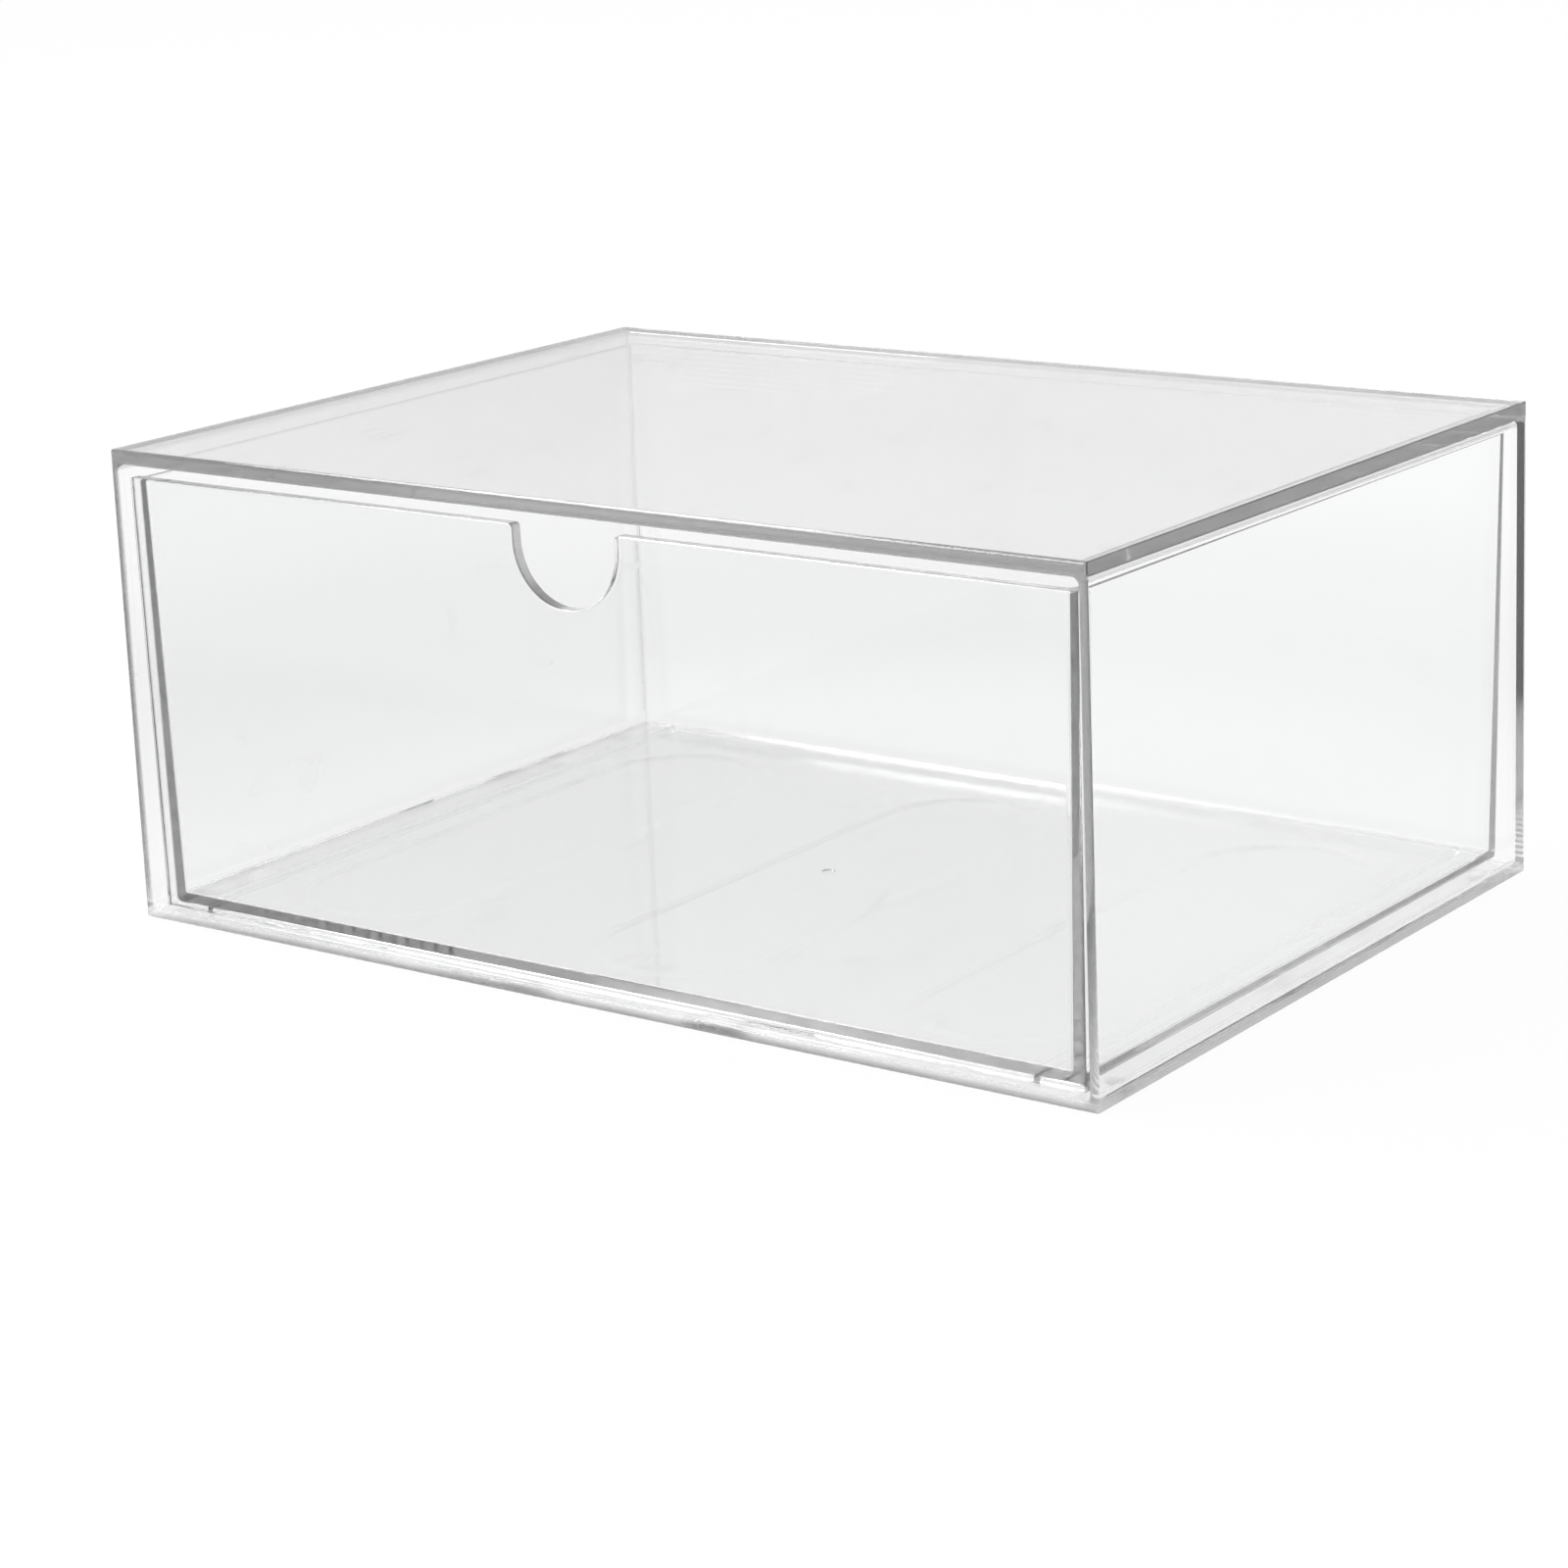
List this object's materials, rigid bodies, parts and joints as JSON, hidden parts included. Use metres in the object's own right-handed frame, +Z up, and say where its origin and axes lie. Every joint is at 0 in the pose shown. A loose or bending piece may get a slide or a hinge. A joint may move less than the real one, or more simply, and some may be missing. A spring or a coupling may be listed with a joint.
{
  "type": "desk drawer organizer",
  "caption": "Clear plastic stackable desk organizer: an open-fronted flat-topped case and a pull-out drawer bin with a U-shaped finger notch.",
  "frame": {"origin": "under the middle of the case, on the surface that the feet stand on", "axes": "+X across the front to the right, +Y from the open front to the back, +Z up"},
  "size_m": [0.33, 0.235, 0.1407],
  "materials": {
    "clear_plastic": "clear polished moulded plastic",
    "clear_foot": "clear soft plastic"
  },
  "bodies": {
    "case": {"case": "clear_plastic", "foot_front_left": "clear_foot", "foot_front_right": "clear_foot", "foot_back_left": "clear_foot", "foot_back_right": "clear_foot"},
    "drawer": {"drawer": "clear_plastic"}
  },
  "joints": [
    {"name": "drawer_slide", "type": "slide", "parent": "case", "child": "drawer", "axis": [0, -1, 0], "range_m": [0, 0.17]}
  ]
}
